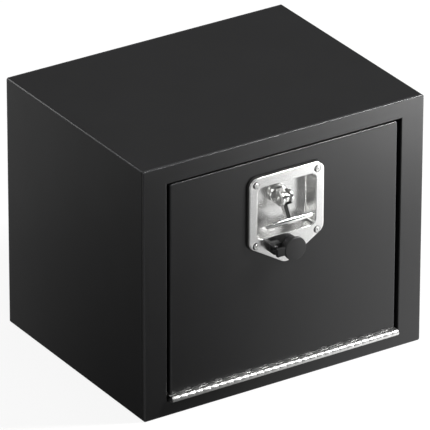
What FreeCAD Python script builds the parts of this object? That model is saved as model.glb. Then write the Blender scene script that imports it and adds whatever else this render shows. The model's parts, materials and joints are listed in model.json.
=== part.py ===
import FreeCAD, Part
import math
import os
from types import SimpleNamespace

import Sketcher

# Underbody truck tool box: a welded sheet cabinet whose door drops on a continuous hinge and
# is held by a folding T-handle latch with a capped key lock.
# The origin is the middle of the cabinet's underside. +X is to the right seen from the front,
# +Y is to the back and +Z is up. Sizes are in millimetres and angles in degrees.

V = FreeCAD.Vector

SIZES = (
    ("box_width", 457.2, "cabinet, across the front"),
    ("box_depth", 355.6, "cabinet, front to back"),
    ("box_height", 381.0, "cabinet, base to top"),
    ("sheet_thick", 2.0, "steel sheet of cabinet and door"),
    ("bend_radius", 3.0, "outside radius of a bend in the sheet"),
    ("side_flange", 37.3, "front frame beside the opening"),
    ("top_flange", 27.0, "front frame above the opening"),
    ("bottom_flange", 21.7, "front frame below the hinge"),
    ("back_flange", 15.0, "weld flange of the back panel"),
    ("seat_gap", 0.3, "gap where moving pieces pass or meet"),
    ("side_gap", 6.0, "gap at each side of the door"),
    ("top_gap", 2.8, "gap above the door"),
    ("door_inset", 0.8, "door face behind the front plane"),
    ("door_depth", 18.0, "door, face to back"),
    ("door_corner", 2.5, "radius at the door's corners"),
    ("door_round", 2.0, "rounding of the bends round the door's face"),
    ("lip_cover", 12.0, "door over the sealing lip, all round"),
    ("seal_thick", 5.4, "rubber seal, front to back"),
    ("seal_width", 8.0, "rubber seal, across"),
    ("seal_margin", 1.5, "seal from the lip's edge"),
    ("seal_round", 2.4, "rounding of the seal's face"),
    ("frame_round", 1.6, "rounding of the bends round the frame's face"),
    ("pin_radius", 2.4, "hinge pin"),
    ("pin_play", 0.08, "running clearance on a pin or shaft"),
    ("leaf_thick", 1.8, "hinge leaf"),
    ("hinge_margin", 3.95, "end of the hinge from the side of the opening"),
    ("knuckle_gap", 0.3, "gap between two knuckles"),
    ("leaf_reach", 16.0, "hinge leaf behind the front plane"),
    ("hinge_rivet_line", 9.0, "hinge rivets behind the front plane"),
    ("hinge_rivet_end", 24.3, "outermost hinge rivets from the door's sides"),
    ("rivet_radius", 2.0, "rivet shank"),
    ("rivet_head", 3.8, "rivet head radius"),
    ("rivet_dome", 1.2, "rivet head and tail height"),
    ("rivet_crown", 2.2, "flat of a rivet's head, radius"),
    ("rivet_tail", 3.0, "upset tail of a rivet, radius"),
    ("latch_drop", 71.0, "spindle axis below the top of the opening"),
    ("plate_width", 122.7, "latch plate, across"),
    ("plate_top", 43.9, "latch plate above the spindle"),
    ("plate_shoulder", 60.0, "latch plate's straight sides below the spindle"),
    ("plate_tip", 97.7, "point of the latch plate below the spindle, before rounding"),
    ("plate_corner", 14.0, "latch plate's corner radius"),
    ("plate_edge", 1.8, "rounding round the plate's face"),
    ("plate_proud", 4.6, "latch plate's face ahead of the front plane"),
    ("plate_thick", 1.5, "stainless sheet of plate and tray"),
    ("gasket_thick", 2.0, "gasket under the plate"),
    ("gasket_margin", 1.3, "gasket beyond the plate"),
    ("tray_width", 95.2, "tray mouth, across"),
    ("tray_top", 28.0, "tray mouth above the spindle"),
    ("tray_bottom", 50.3, "tray mouth below the spindle"),
    ("tray_depth", 25.0, "tray, mouth to floor"),
    ("tray_draft", 3.0, "draft of the tray's walls"),
    ("tray_corner", 9.0, "tray's corner radius"),
    ("tray_floor_round", 4.0, "rounding at the tray's floor"),
    ("tray_lip_round", 1.4, "rolled edge of the tray's mouth"),
    ("screw_across", 49.9, "plate fasteners from the middle"),
    ("screw_above", 33.6, "upper plate fasteners above the spindle"),
    ("screw_below", 59.2, "lower plate fasteners below the spindle"),
    ("dimple_radius", 5.6, "dimple round a plate fastener"),
    ("dimple_deep", 0.7, "depth of that dimple"),
    ("shaft_radius", 8.0, "spindle shaft"),
    ("boss_radius", 14.0, "spindle boss"),
    ("boss_chamfer", 1.4, "chamfer at the boss's front"),
    ("tongue_half", 5.0, "tongue of the spindle, half width"),
    ("tongue_radius", 8.5, "rounded end of the tongue"),
    ("fold_behind", 3.0, "fold pin behind the front plane"),
    ("fold_pin_radius", 2.5, "fold pin"),
    ("yoke_radius", 11.2, "cheeks of the yoke round the fold pin"),
    ("yoke_cheek", 3.4, "thickness of a cheek"),
    ("yoke_play", 0.25, "yoke beside and below the tongue"),
    ("stem_half", 4.6, "stem of the T-handle, half its width and thickness"),
    ("stem_round", 2.6, "rounding of the stem's edges"),
    ("bar_drop", 30.5, "T-bar below the fold pin"),
    ("bar_clear", 0.4, "folded T-bar ahead of the plate"),
    ("bar_half", 38.5, "T-bar, half length"),
    ("bar_radius", 4.7, "T-bar at its middle"),
    ("bar_end_radius", 3.5, "T-bar at its ends"),
    ("bar_end_chamfer", 1.7, "chamfer at those ends"),
    ("bar_straight", 6.0, "untapered middle of the T-bar, half length"),
    ("bar_hole_radius", 1.1, "cross hole near the T-bar's left end"),
    ("bar_hole_in", 5.5, "that hole from the end"),
    ("bush_radius", 15.0, "flange of the spindle bush"),
    ("bush_wall", 2.6, "wall of the spindle bush"),
    ("bush_flange", 2.5, "thickness of the bush flange"),
    ("stop_thick", 2.5, "stop plate and lock pawl"),
    ("stop_reach", 22.0, "stop plate's tail from the spindle"),
    ("stop_half", 5.0, "stop plate's tail, half width"),
    ("stop_hub", 13.0, "hub of stop plate and cam"),
    ("stud_radius", 2.5, "stop stud"),
    ("stud_orbit", 18.0, "stop studs from the spindle"),
    ("square_side", 11.0, "square of the spindle"),
    ("keeper_thick", 2.0, "wear plate behind the lip"),
    ("keeper_half", 34.0, "wear plate, half length"),
    ("keeper_ramp", 4.0, "ramp at each end of the wear plate"),
    ("keeper_rivet_across", 26.0, "wear plate's rivets from the middle"),
    ("keeper_sink", 1.0, "countersink of those rivets in the lip"),
    ("cam_play", 0.5, "cam behind the wear plate"),
    ("cam_thick", 3.0, "cam"),
    ("cam_below", 4.0, "tip of the latched cam below the top of the opening"),
    ("cam_half", 8.5, "half width of the cam's arm"),
    ("spacer_radius", 11.0, "spacer between stop plate and cam"),
    ("thread_radius", 5.0, "threaded end of the spindle"),
    ("thread_spare", 1.25, "thread beyond its nut"),
    ("washer_thick", 1.2, "cam washer"),
    ("nut_thick", 5.0, "cam nut"),
    ("nut_radius", 9.2, "cam nut across its corners, half"),
    ("lock_drop", 66.5, "lock axis below the spindle"),
    ("lock_radius", 9.2, "lock cylinder behind the plate"),
    ("lock_head", 10.5, "head of the lock cylinder"),
    ("lock_proud", 6.6, "head ahead of the plate"),
    ("lock_nut_thick", 4.0, "lock nut"),
    ("lock_nut_radius", 13.6, "lock nut across its corners, half"),
    ("plug_radius", 6.0, "key plug"),
    ("tail_side", 7.0, "square tail of the key plug"),
    ("keyway_half", 1.0, "keyway, half width"),
    ("keyway_tall", 4.2, "keyway, half height"),
    ("pawl_hub", 8.0, "hub of the lock pawl"),
    ("pawl_half", 4.0, "half width of the lock pawl"),
    ("pawl_reach", 50.0, "end circle of the pawl from the lock axis"),
    ("pawl_tilt", 15.0, "pawl below the level at rest"),
    ("pawl_screw_radius", 1.8, "thread of the pawl screw"),
    ("pawl_screw_head", 5.4, "head of the pawl screw, radius"),
    ("pawl_screw_tall", 2.3, "head of the pawl screw, height"),
    ("ring_radius", 13.4, "ring of the weather cap"),
    ("ring_length", 7.0, "ring, front to back"),
    ("cap_length", 15.8, "weather cap, front to back"),
    ("cap_radius", 17.2, "disc of the weather cap"),
    ("cap_disc", 5.4, "thickness of that disc"),
    ("cap_neck", 12.8, "neck of the weather cap"),
    ("cap_wall", 1.8, "wall of the weather cap"),
    ("cap_hinge_out", 25.5, "cap hinge beside the lock axis"),
    ("cap_hinge_ahead", 11.0, "cap hinge ahead of the plate"),
    ("cap_knuckle", 3.5, "knuckle of the cap hinge"),
    ("cap_ear_half", 5.8, "ears of the cap hinge, half height"),
    ("cap_middle_half", 1.8, "middle knuckle of the cap hinge, half height"),
    ("cap_arm", 5.0, "thickness of the arms that carry the cap hinge"),
    ("cap_pin_radius", 1.2, "pin of the cap hinge"),
)
KNUCKLE_PAIRS = 15
HINGE_RIVETS = 5
NEAR = 0.01

doc = FreeCAD.newDocument("underbody_tool_box")
sheet = doc.addObject("Spreadsheet::Sheet", "Sizes")


class Size:
    """A length: its value now, and the words of the sheet that bind it."""

    def __init__(self, value, words):
        self.value = value
        self.words = words

    def __add__(self, other):
        other = as_size(other)
        return Size(self.value + other.value, "(%s + %s)" % (self.words, other.words))

    def __sub__(self, other):
        other = as_size(other)
        return Size(self.value - other.value, "(%s - %s)" % (self.words, other.words))

    def __rsub__(self, other):
        return as_size(other) - self

    def __mul__(self, factor):
        factor = as_size(factor)
        return Size(self.value * factor.value, "(%s * %s)" % (self.words, factor.words))

    def __truediv__(self, factor):
        factor = as_size(factor)
        return Size(self.value / factor.value, "(%s / %s)" % (self.words, factor.words))

    def __neg__(self):
        return Size(-self.value, "(0 - %s)" % self.words)

    def root(self):
        return Size(math.sqrt(self.value), "sqrt(%s)" % self.words)

    def cos(self):
        return Size(math.cos(math.radians(self.value)), "cos(%s * 1 deg)" % self.words)

    def sin(self):
        return Size(math.sin(math.radians(self.value)), "sin(%s * 1 deg)" % self.words)

    __radd__ = __add__
    __rmul__ = __mul__


def as_size(number):
    return number if isinstance(number, Size) else Size(float(number), "%.6g" % number)


def fill_sheet():
    for row, (word, number, meaning) in enumerate(SIZES, 1):
        sheet.set("A%d" % row, meaning)
        sheet.set("B%d" % row, str(number))
        sheet.setAlias("B%d" % row, word)
    doc.recompute()
    return SimpleNamespace(**{word: Size(float(number), "Sizes." + word) for word, number, _ in SIZES})


s = fill_sheet()

# Front of the cabinet. Depths are counted back from the front plane.
opening_half = s.box_width / 2 - s.side_flange
opening_high = s.box_height - s.top_flange
knuckle_radius = s.pin_radius + s.pin_play + s.leaf_thick
hinge_depth = -(knuckle_radius + s.seat_gap)
hinge_height = s.bottom_flange + knuckle_radius
hinge_length = (opening_half - s.hinge_margin) * 2
knuckle_pitch = hinge_length / (2 * KNUCKLE_PAIRS)
door_half = opening_half - s.side_gap
door_low = hinge_height + knuckle_radius
door_high = opening_high - s.top_gap
door_back = s.door_inset + s.door_depth
liner_front = door_back - s.sheet_thick
lip_front = door_back + s.seat_gap + s.seal_thick
jamb_end = lip_front + s.sheet_thick
lip_half = door_half - s.lip_cover
lip_low = door_low + s.lip_cover
lip_high = door_high - s.lip_cover

# Latch. Heights are counted from the spindle's axis.
latch_height = opening_high - s.latch_drop
cam_reach = s.latch_drop - s.cam_below
plate_front = -s.plate_proud
plate_back = s.door_inset - s.gasket_thick
plate_rear = plate_front + s.plate_thick
tray_floor = plate_front + s.tray_depth
tray_back = tray_floor + s.plate_thick
bush_end = tray_back + s.bush_flange
stop_front = bush_end + s.seat_gap
stop_back = stop_front + s.stop_thick
keeper_back = jamb_end + s.keeper_thick
cam_front = keeper_back + s.cam_play
cam_back = cam_front + s.cam_thick
washer_back = cam_back + s.washer_thick
nut_back = washer_back + s.nut_thick
fold_depth = s.fold_behind
boss_front = fold_depth + s.yoke_radius + s.seat_gap
bar_depth = plate_front - s.bar_clear - s.bar_radius
lock_front = plate_front - s.lock_proud
lock_back = stop_front - s.seat_gap
ring_front = plate_front - s.ring_length
cap_rear = ring_front - s.seat_gap
cap_front = cap_rear - s.cap_length
cap_hinge_depth = plate_front - s.cap_hinge_ahead
keeper_rivet_height = opening_high - s.rivet_head - s.seat_gap
nodes = {}


def bind(thing, path, size):
    thing.setExpression(path, as_size(size).words)


def place(thing, x=0, y=0, z=0):
    for axis, size in (("x", x), ("y", y), ("z", z)):
        bind(thing, "Placement.Base." + axis, size)


def keep(thing, name, y=None, z=None):
    """Names a finished sub-part and sets it at its depth and height in the cabinet."""
    thing.Label = name
    nodes[name] = thing
    if y is not None:
        place(thing, y=y, z=as_size(z))
    return thing


def at_front(thing, name):
    return keep(thing, name, -s.box_depth / 2, 0)


def at_spindle(thing, name):
    return keep(thing, name, -s.box_depth / 2, latch_height)


def at_lock(thing, name):
    return keep(thing, name, -s.box_depth / 2, latch_height - s.lock_drop)


def new_body(name):
    return doc.addObject("PartDesign::Body", name + "_body")


def new_sketch(body, role, offset=0):
    """A sketch on the body's own origin plane, moved along that plane's normal."""
    sketch = body.newObject("Sketcher::SketchObject", "Sketch")
    plane = [item for item in body.Origin.OriginFeatures if item.Role == role][0]
    sketch.AttachmentSupport = [(plane, "")]
    sketch.MapMode = "FlatFace"
    bind(sketch, "AttachmentOffset.Base.z", offset)
    return sketch


def pin_point(sketch, line, end, u, v):
    """Fixes a point of the sketch at two sizes from the sketch's origin."""
    for kind, axis, size in (("DistanceX", -2, as_size(u)), ("DistanceY", -1, as_size(v))):
        if size.value == 0:
            sketch.addConstraint(Sketcher.Constraint("PointOnObject", line, end, axis))
            continue
        number = sketch.addConstraint(Sketcher.Constraint(kind, -1, 1, line, end, size.value))
        word = "%s_%d" % (kind, number)
        sketch.renameConstraint(number, word)
        sketch.setExpression("Constraints." + word, size.words)


def draw_loop(sketch, points):
    """A closed run of straight lines through points given in sizes."""
    first = sketch.GeometryCount
    spots = [V(as_size(u).value, as_size(v).value, 0) for u, v in points]
    count = len(spots)
    for number in range(count):
        line = Part.LineSegment(spots[number], spots[(number + 1) % count])
        sketch.addGeometry(line, False)
    for number in range(count):
        following = first + (number + 1) % count
        sketch.addConstraint(Sketcher.Constraint("Coincident", first + number, 2, following, 1))
    for number, (u, v) in enumerate(points):
        pin_point(sketch, first + number, 1, u, v)


def draw_circle(sketch, u, v, radius):
    radius = as_size(radius)
    centre = V(as_size(u).value, as_size(v).value, 0)
    line = sketch.addGeometry(Part.Circle(centre, V(0, 0, 1), radius.value), False)
    number = sketch.addConstraint(Sketcher.Constraint("Radius", line, radius.value))
    word = "Radius_%d" % number
    sketch.renameConstraint(number, word)
    sketch.setExpression("Constraints." + word, radius.words)
    pin_point(sketch, line, 3, u, v)


def corners(left, low, right, high):
    return [(left, low), (right, low), (right, high), (left, high)]


def around(half, low, high, margin=0):
    """The corners of an upright rectangle, grown by a margin."""
    return corners(-half - margin, low - margin, half + margin, high + margin)


def front_sketch(body, depth, loops=(), circles=()):
    """A sketch seen from the front, at a depth."""
    sketch = new_sketch(body, "XZ_Plane", -as_size(depth))
    for points in loops:
        draw_loop(sketch, points)
    for u, v, radius in circles:
        draw_circle(sketch, u, v, radius)
    return sketch


def add_front(body, start, end, loops=(), circles=()):
    """Material from one depth back to another."""
    pad = body.newObject("PartDesign::Pad", "Pad")
    pad.Profile = front_sketch(body, start, loops, circles)
    pad.Reversed = True
    bind(pad, "Length", end - start)
    return pad


def cut_front(body, start, end, loops=(), circles=()):
    """A cut from one depth back to another."""
    pocket = body.newObject("PartDesign::Pocket", "Pocket")
    pocket.Profile = front_sketch(body, start, loops, circles)
    bind(pocket, "Length", end - start)
    return pocket


def add_across(body, half, loops=(), circles=(), cut=False):
    """Material, or a cut, drawn from the side and as wide to the left as to the right."""
    sketch = new_sketch(body, "YZ_Plane")
    for points in loops:
        draw_loop(sketch, points)
    for u, v, radius in circles:
        draw_circle(sketch, u, v, radius)
    feature = body.newObject("PartDesign::Pocket" if cut else "PartDesign::Pad", "Across")
    feature.Profile = sketch
    feature.SideType = "Symmetric"
    bind(feature, "Length", half * 2)
    return feature


def add_upright(body, low, high, loops=(), circles=()):
    """Material from one height up to another."""
    sketch = new_sketch(body, "XY_Plane", low)
    for points in loops:
        draw_loop(sketch, points)
    for u, v, radius in circles:
        draw_circle(sketch, u, v, radius)
    pad = body.newObject("PartDesign::Pad", "Upright")
    pad.Profile = sketch
    bind(pad, "Length", high - low)
    return pad


def add_turned(body, points, role="YZ_Plane"):
    """A turned form: pairs of place along the axis and radius."""
    sketch = new_sketch(body, role)
    draw_loop(sketch, points)
    turned = body.newObject("PartDesign::Revolution", "Revolution")
    turned.Profile = sketch
    turned.ReferenceAxis = (sketch, ["H_Axis"])
    turned.Angle = 360
    return turned


def runs(edge, axis):
    """True for an edge that lies along one axis."""
    box = edge.BoundBox
    spans = {"x": box.XLength, "y": box.YLength, "z": box.ZLength}
    return spans.pop(axis) > NEAR and max(spans.values()) < NEAR


def lies(edge, axis, size):
    """True for an edge that lies wholly at one place along an axis."""
    box = edge.BoundBox
    low, high = {"x": (box.XMin, box.XMax), "y": (box.YMin, box.YMax), "z": (box.ZMin, box.ZMax)}[axis]
    place_now = as_size(size).value
    return abs(low - place_now) < NEAR and abs(high - place_now) < NEAR


def round_off(body, base, radius, test, kind="Fillet"):
    """Rounds or chamfers the edges that the test picks."""
    doc.recompute()
    picked = ["Edge%d" % number for number, edge in enumerate(base.Shape.Edges, 1) if test(edge)]
    feature = body.newObject("PartDesign::" + kind, kind)
    feature.Base = (base, picked)
    bind(feature, "Radius" if kind == "Fillet" else "Size", radius)
    return feature


def make_rod(radius, start, end, x=0, z=0):
    """A cylinder from one depth back to another."""
    rod = doc.addObject("Part::Cylinder", "Rod")
    rod.Placement = FreeCAD.Placement(V(), FreeCAD.Rotation(V(1, 0, 0), -90))
    bind(rod, "Radius", radius)
    bind(rod, "Height", end - start)
    place(rod, x, start, z)
    return rod


def make_hexagon(radius, start, end):
    nut = doc.addObject("Part::Prism", "Hexagon")
    nut.Polygon = 6
    nut.Placement = FreeCAD.Placement(V(), FreeCAD.Rotation(V(1, 0, 0), -90))
    bind(nut, "Circumradius", radius)
    bind(nut, "Height", end - start)
    place(nut, 0, start, 0)
    return nut


def cut_away(base, tool):
    result = doc.addObject("Part::Cut", "Cut")
    result.Base = base
    result.Tool = tool
    return result


def make_body_wrap():
    """Top, sides and bottom, bent from one sheet behind the front frame."""
    body = new_body("body_wrap")
    half = s.box_width / 2
    inner_half = half - s.sheet_thick
    inner_high = s.box_height - s.sheet_thick
    outside = around(half, 0, s.box_height)
    tube = add_front(body, s.sheet_thick, s.box_depth, [outside])
    round_off(body, tube, s.bend_radius, lambda edge: runs(edge, "y"))
    inside = around(inner_half, s.sheet_thick, inner_high)
    hollow = cut_front(body, s.sheet_thick, s.box_depth, [inside])
    round_off(body, hollow, s.bend_radius - s.sheet_thick,
              lambda edge: is_sharp_inside(edge, inner_half, inner_high))
    at_front(body, "body_wrap")


def is_sharp_inside(edge, half, high):
    """True at the wrap's four inner corners."""
    centre = edge.CenterOfMass
    beside = abs(abs(centre.x) - half.value) < NEAR
    level = min(abs(centre.z - s.sheet_thick.value), abs(centre.z - high.value)) < NEAR
    return runs(edge, "y") and beside and level


def make_back_panel():
    """A pan with flanges that are welded inside the wrap, its face at the very back."""
    body = new_body("back_panel")
    half = s.box_width / 2 - s.sheet_thick
    low = s.sheet_thick
    high = s.box_height - s.sheet_thick
    start = s.box_depth - s.back_flange
    pan = add_front(body, start, s.box_depth, [around(half, low, high)])
    round_off(body, pan, s.bend_radius - s.sheet_thick, lambda edge: runs(edge, "y"))
    cut_front(body, start, s.box_depth - s.sheet_thick, [around(half, low, high, -s.sheet_thick)])
    at_front(body, "back_panel")


def make_front_frame():
    """Flanged face, jamb turned back at the opening, and the lip that carries the seal."""
    body = new_body("front_frame")
    opening = around(opening_half, s.bottom_flange, opening_high)
    behind = around(opening_half, s.bottom_flange, opening_high, s.sheet_thick)
    face = around(s.box_width / 2, 0, s.box_height)
    add_front(body, 0, s.sheet_thick, [face, opening])
    add_front(body, 0, jamb_end, [behind, opening])
    lip = add_front(body, lip_front, jamb_end, [behind, around(lip_half, lip_low, lip_high)])
    corners_round = round_off(body, lip, s.bend_radius,
                              lambda edge: runs(edge, "y") and abs(abs(edge.CenterOfMass.x)
                                                                   - s.box_width.value / 2) < NEAR)
    round_off(body, corners_round, s.frame_round, is_frame_edge)
    cut_down_row(body, s.bottom_flange - s.sheet_thick, s.bottom_flange)
    holes = cut_front(body, lip_front, jamb_end,
                      circles=keeper_rivet_spots(s.rivet_radius + s.pin_play))
    round_off(body, holes, s.keeper_sink,
              lambda edge: lies(edge, "y", lip_front)
              and abs(abs(edge.CenterOfMass.x) - s.keeper_rivet_across.value) < NEAR, "Chamfer")
    at_front(body, "front_frame")


def is_frame_edge(edge):
    """True for the bends round the frame's face: its outside and the opening's edge."""
    if not lies(edge, "y", 0):
        return False
    centre = edge.CenterOfMass
    corner = s.bend_radius.value
    outside = (abs(abs(centre.x) - s.box_width.value / 2) < corner or centre.z < corner
               or centre.z > s.box_height.value - corner)
    beside = abs(abs(centre.x) - opening_half.value) < NEAR
    level = abs(centre.z - opening_high.value) < NEAR
    return outside or beside or level


def hinge_rivet_places():
    reach = door_half - s.hinge_rivet_end
    return [reach * (2 * number / (HINGE_RIVETS - 1) - 1) for number in range(HINGE_RIVETS)]


def cut_down_row(body, low, high):
    """Holes for the hinge rivets between two heights."""
    sketch = new_sketch(body, "XY_Plane", high)
    for across in hinge_rivet_places():
        draw_circle(sketch, across, s.hinge_rivet_line, s.rivet_radius + s.pin_play)
    pocket = body.newObject("PartDesign::Pocket", "RivetHoles")
    pocket.Profile = sketch
    bind(pocket, "Length", high - low)


def make_door_seal():
    """Rubber ring on the lip, facing the back of the door."""
    body = new_body("door_seal")
    inner = around(lip_half, lip_low, lip_high, s.seal_margin)
    outer = around(lip_half, lip_low, lip_high, s.seal_margin + s.seal_width)
    ring = add_front(body, lip_front - s.seal_thick, lip_front, [outer, inner])
    round_off(body, ring, s.seal_round, lambda edge: lies(edge, "y", lip_front - s.seal_thick))
    at_front(body, "door_seal")


def keeper_rivet_spots(radius):
    return [(side * s.keeper_rivet_across, keeper_rivet_height, radius) for side in (-1, 1)]


def make_keeper():
    """Wear plate behind the top lip, with a ramp at each end for the cam."""
    body = new_body("latch_keeper")
    low = lip_high + s.seat_gap
    flat = s.keeper_half - s.keeper_ramp
    add_upright(body, low, opening_high, [[(-s.keeper_half, jamb_end), (s.keeper_half, jamb_end),
                                           (flat, keeper_back), (-flat, keeper_back)]])
    cut_front(body, jamb_end, keeper_back, circles=keeper_rivet_spots(s.rivet_radius + s.pin_play))
    at_front(body, "latch_keeper")


def make_leaf(name, side):
    """One leaf of the continuous hinge: side 1 is the door's, above the pin, -1 the cabinet's.

    Every second knuckle along the pin belongs to the same leaf.
    """
    body = new_body(name)
    outer = hinge_height + side * knuckle_radius
    inner = outer - side * s.leaf_thick
    strip_start = hinge_depth + knuckle_radius + s.seat_gap
    low, high = (inner, outer) if side > 0 else (outer, inner)
    add_across(body, hinge_length / 2 - s.knuckle_gap / 2,
               [corners(strip_start, low, s.leaf_reach, high)])
    start = hinge_length / 2 - knuckle_pitch * (1 if side > 0 else 2) + s.knuckle_gap / 2
    sketch = new_sketch(body, "YZ_Plane", start)
    draw_knuckle(sketch, side, outer, inner, strip_start)
    knuckle = body.newObject("PartDesign::Pad", "Knuckle")
    knuckle.Profile = sketch
    bind(knuckle, "Length", knuckle_pitch - s.knuckle_gap)
    row = body.newObject("PartDesign::LinearPattern", "Knuckles")
    row.Originals = [knuckle]
    row.Direction = (sketch, ["N_Axis"])
    row.Reversed = True
    row.Occurrences = KNUCKLE_PAIRS
    row.Mode = "Extent"
    bind(row, "Length", knuckle_pitch * 2 * (KNUCKLE_PAIRS - 1))
    body.Tip = row
    cut_down_row(body, low, high)
    at_front(body, name)


def draw_knuckle(sketch, side, outer, inner, strip_start):
    """A tube section that runs into its leaf, with the bore of the pin."""
    centre = V(hinge_depth.value, hinge_height.value, 0)
    rise = knuckle_radius - s.leaf_thick
    meet = (knuckle_radius * knuckle_radius - rise * rise).root()
    top = (hinge_depth, outer)
    far = (strip_start, outer)
    under = (strip_start, inner)
    spot = (hinge_depth + meet, inner)
    for first, second in ((top, far), (far, under), (under, spot)):
        sketch.addGeometry(Part.LineSegment(V(first[0].value, first[1].value, 0),
                                            V(second[0].value, second[1].value, 0)), False)
    angle = math.atan2(rise.value * side, meet.value)
    quarter = math.pi / 2 * side
    begin, end = (quarter, angle + 2 * math.pi) if side > 0 else (angle, quarter + 2 * math.pi)
    circle = Part.Circle(centre, V(0, 0, 1), knuckle_radius.value)
    arc = sketch.addGeometry(Part.ArcOfCircle(circle, begin, end), False)
    arc_top, arc_spot = (1, 2) if side > 0 else (2, 1)
    joints = ((0, 2, 1, 1), (1, 2, 2, 1), (2, 2, arc, arc_spot), (arc, arc_top, 0, 1))
    for joint in joints:
        sketch.addConstraint(Sketcher.Constraint("Coincident", *joint))
    pin_point(sketch, arc, 3, hinge_depth, hinge_height)
    pin_point(sketch, 0, 1, *top)
    pin_point(sketch, 1, 1, *far)
    pin_point(sketch, 2, 1, *under)
    sketch.addConstraint(Sketcher.Constraint("Horizontal", 2))
    draw_circle(sketch, hinge_depth, hinge_height, s.pin_radius + s.pin_play)


def make_hinge_pin():
    pin = doc.addObject("Part::Cylinder", "HingePin")
    pin.Placement = FreeCAD.Placement(V(), FreeCAD.Rotation(V(0, 1, 0), 90))
    bind(pin, "Radius", s.pin_radius)
    bind(pin, "Height", hinge_length)
    keep(pin, "hinge_pin")
    place(pin, -hinge_length / 2, hinge_depth - s.box_depth / 2, hinge_height)


def make_door_skin():
    """Outer door pan, with its edges turned back, and the cut-outs of latch and lock."""
    body = new_body("door_skin")
    pan = add_front(body, s.door_inset, liner_front, [around(door_half, door_low, door_high)])
    rounded = round_off(body, pan, s.door_corner, lambda edge: runs(edge, "y"))
    round_off(body, rounded, s.door_round, lambda edge: lies(edge, "y", s.door_inset))
    inner = around(door_half, door_low, door_high, -s.sheet_thick)
    cut_front(body, s.door_inset + s.sheet_thick, liner_front, [inner])
    holes = [(u, v + latch_height, radius) for u, v, radius in latch_holes()]
    cut_front(body, s.door_inset, s.door_inset + s.sheet_thick, [tray_hole(latch_height)])
    cut_front(body, s.door_inset, s.door_inset + s.sheet_thick, circles=holes)
    cut_down_row(body, door_low, door_low + s.sheet_thick)
    at_front(body, "door_skin")


def tray_hole(height):
    """The opening that the tray passes through, in door and gasket."""
    margin = s.plate_thick + s.seat_gap
    half = s.tray_width / 2
    return corners(-half - margin, height - s.tray_bottom - margin, half + margin,
                   height + s.tray_top + margin)


def latch_holes():
    """Centres and radii of the holes for the four fasteners and the lock."""
    spots = [(side * s.screw_across, level, s.rivet_radius + s.pin_play)
             for side in (-1, 1) for level in (s.screw_above, -s.screw_below)]
    return spots + [(0, -s.lock_drop, s.lock_radius + s.pin_play)]


def make_door_liner():
    """Flat inner panel on the back of the pan."""
    body = new_body("door_liner")
    panel = add_front(body, liner_front, door_back, [around(door_half, door_low, door_high)])
    round_off(body, panel, s.door_corner, lambda edge: runs(edge, "y"))
    cut_front(body, liner_front, door_back, [tray_hole(latch_height)])
    lock_height = latch_height - s.lock_drop
    cut_front(body, liner_front, door_back, circles=[(0, lock_height, s.lock_radius + s.pin_play)])
    at_front(body, "door_liner")


def plate_outline(margin):
    """The latch plate's outline, square at the top and pointed at the bottom."""
    half = s.plate_width / 2
    slope = (s.plate_tip - s.plate_shoulder) / half
    slant = (slope * slope + 1).root()
    outside = half + margin
    top = s.plate_top + margin
    shoulder = -s.plate_shoulder - (slant - slope) * margin
    return [(-outside, top), (-outside, shoulder), (0, -s.plate_tip - slant * margin),
            (outside, shoulder), (outside, top)]


def make_latch_gasket():
    """Black gasket between the plate and the door."""
    body = new_body("latch_gasket")
    flat = add_front(body, plate_back, s.door_inset, [plate_outline(s.gasket_margin)])
    round_off(body, flat, s.plate_corner + s.gasket_margin, lambda edge: runs(edge, "y"))
    cut_front(body, plate_back, s.door_inset, [tray_hole(0)])
    cut_front(body, plate_back, s.door_inset, circles=latch_holes())
    at_spindle(body, "latch_gasket")


def make_latch_plate():
    """Plate with a turned edge, drawn in one with the tray that the handle folds into."""
    body = new_body("latch_plate")
    plate = add_front(body, plate_front, plate_back, [plate_outline(0)])
    rounded = round_off(body, plate, s.plate_corner, lambda edge: runs(edge, "y"))
    edged = round_off(body, rounded, s.plate_edge, lambda edge: lies(edge, "y", plate_front))
    doc.recompute()
    hollow = body.newObject("PartDesign::Thickness", "Hollow")
    hollow.Base = (edged, face_names(edged, lambda face: lies(face, "y", plate_back)))
    hollow.Reversed = True
    bind(hollow, "Value", s.plate_thick)
    half = s.tray_width / 2
    wall = s.plate_thick
    around_tray = around(half, -s.tray_bottom, s.tray_top, wall)
    shell = add_front(body, plate_rear, tray_back, [around_tray])
    lean_in(body, shell, plate_rear, half + wall)
    mouth = cut_front(body, plate_front, tray_floor, [around(half, -s.tray_bottom, s.tray_top)])
    recess = lean_in(body, mouth, plate_front, half)
    recess = round_off(body, recess, s.tray_corner, lambda edge: is_tray_corner(edge, half))
    recess = round_off(body, recess, s.tray_floor_round, is_tray_floor)
    recess = round_off(body, recess, s.tray_corner + wall,
                       lambda edge: not is_tray_corner(edge, half) and is_tray_corner(edge, half + wall))
    recess = round_off(body, recess, s.tray_floor_round + wall, lambda edge: lies(edge, "y", tray_back))
    round_off(body, recess, s.tray_lip_round, is_tray_mouth)
    cut_front(body, tray_floor, tray_back, circles=[(0, 0, bush_hole())])
    dimples = [(u, v, s.dimple_radius) for u, v, _ in latch_holes()[:4]]
    cut_front(body, plate_front, plate_front + s.dimple_deep, circles=dimples)
    cut_front(body, plate_front, plate_back, circles=latch_holes())
    at_spindle(body, "latch_plate")


def face_names(feature, test):
    return ["Face%d" % number for number, face in enumerate(feature.Shape.Faces, 1) if test(face)]


def lean_in(body, base, depth, half):
    """Gives the tray's four walls their draft, from the plane at that depth."""
    doc.recompute()
    feature = body.newObject("PartDesign::Draft", "Draft")
    feature.Base = (base, face_names(base, lambda face: is_tray_wall(face, half)))
    feature.NeutralPlane = (base, face_names(base, lambda face: lies(face, "y", depth))[:1])
    feature.Reversed = base.isDerivedFrom("PartDesign::Pocket")
    bind(feature, "Angle", s.tray_draft)
    return feature


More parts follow.
